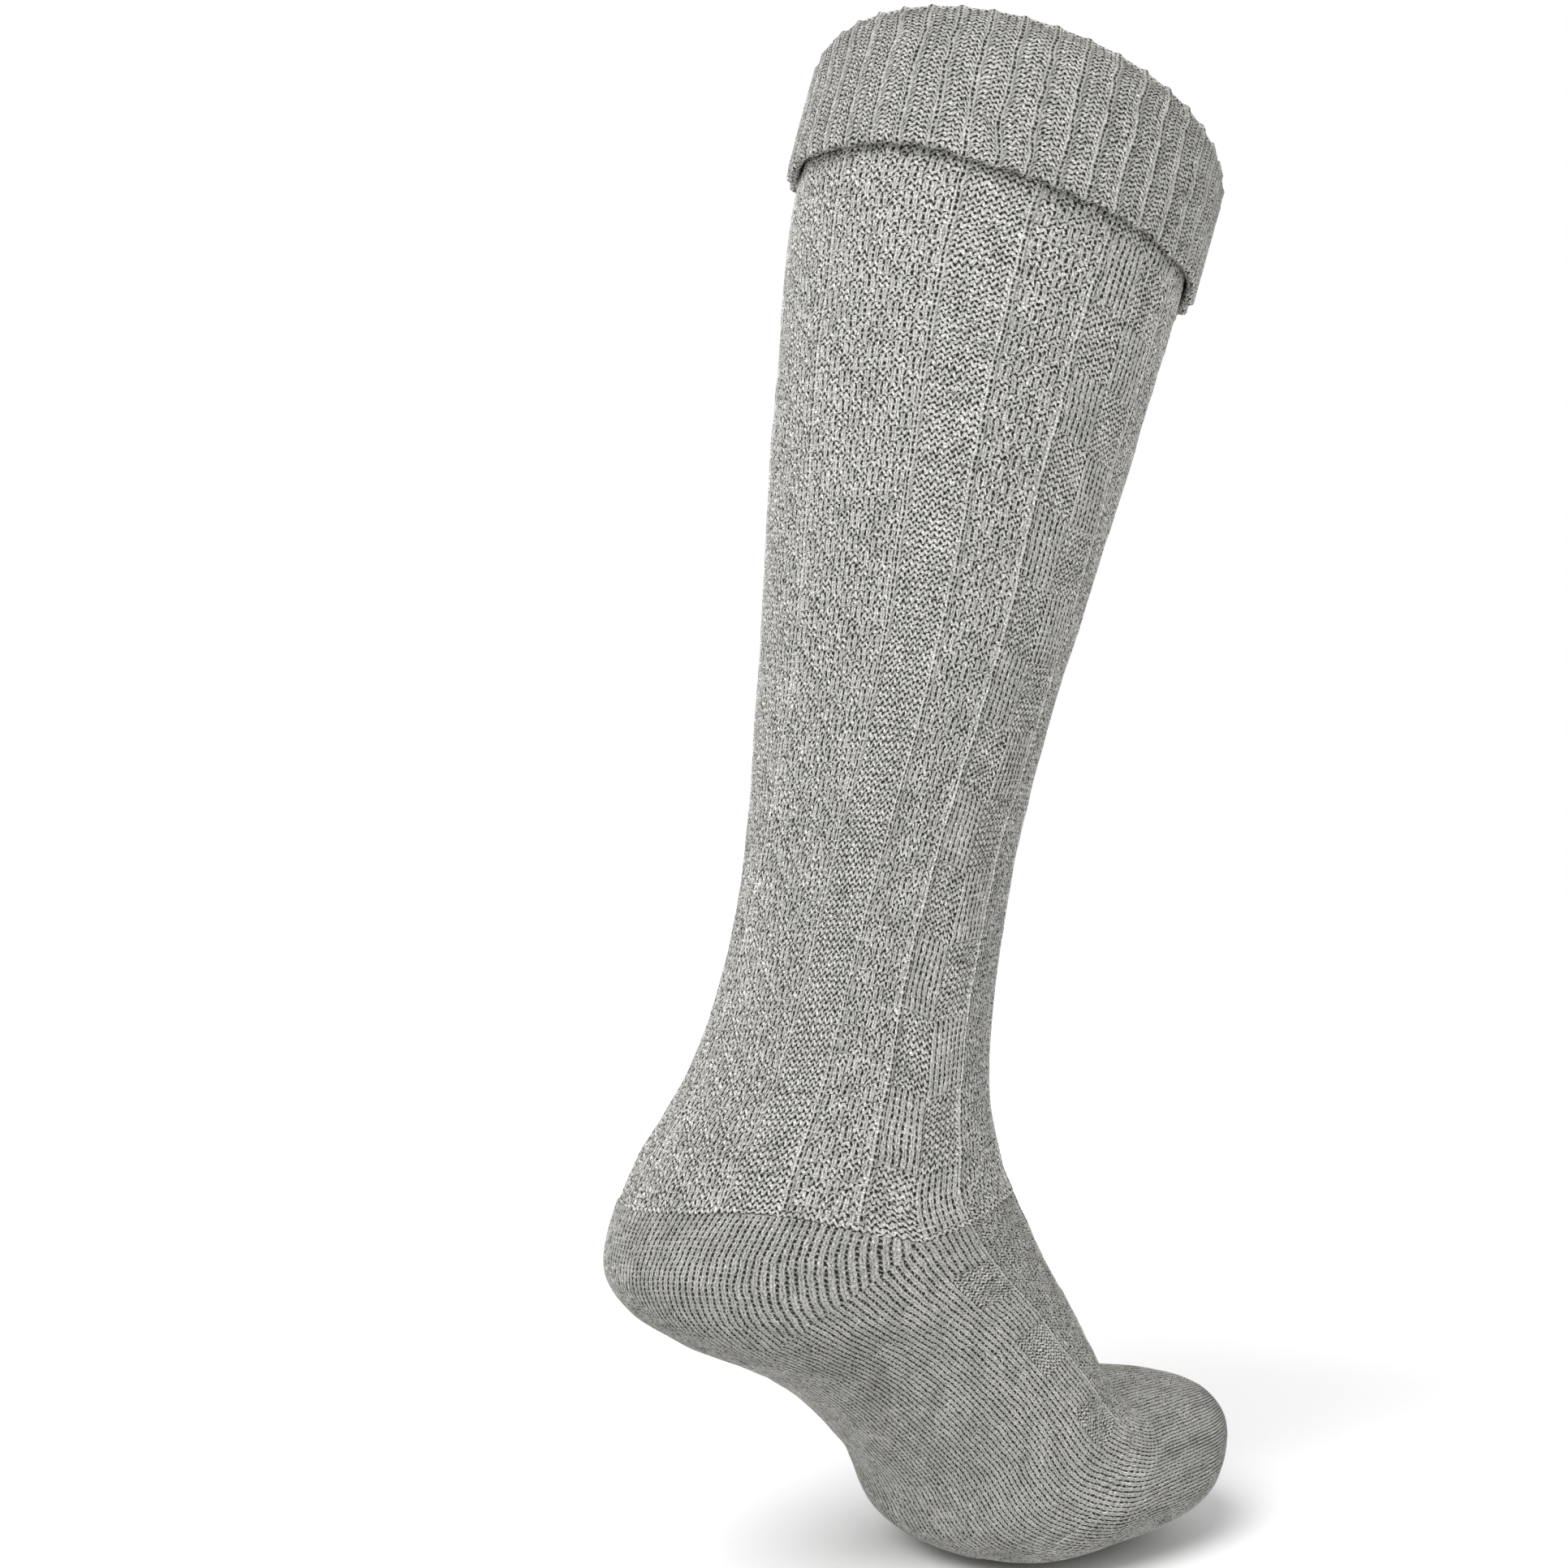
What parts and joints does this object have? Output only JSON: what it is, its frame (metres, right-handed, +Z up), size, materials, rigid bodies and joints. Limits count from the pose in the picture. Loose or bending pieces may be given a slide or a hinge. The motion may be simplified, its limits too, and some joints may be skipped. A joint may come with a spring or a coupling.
{
  "type": "knee sock",
  "caption": "Knitted knee sock in its worn form: a patterned tube with a turned-down ribbed cuff, a wedge heel, a plain sole and a rounded toe.",
  "frame": {"origin": "middle of the opening that the leg goes in at, on the line of the cuff's rim", "axes": "+Z up as worn, -Y towards the toes and the shin, +Y towards the heel and the calf, -X towards the outer side of the right foot. The foot is on tiptoe and the leg leans forward."},
  "size_m": [0.13, 0.2225, 0.4787],
  "materials": {
    "ribbed_knit": "matte heathered wool-blend yarn knitted in narrow ribs, purl side out",
    "patterned_knit": "matte heathered wool-blend yarn in moss, purl and block panels between thin ribs",
    "plain_knit": "matte heathered wool-blend yarn in plain stockinette"
  },
  "bodies": {
    "root": {"cuff": "ribbed_knit", "leg": "patterned_knit", "heel": "plain_knit", "foot": "plain_knit", "toe": "plain_knit"}
  },
  "joints": []
}
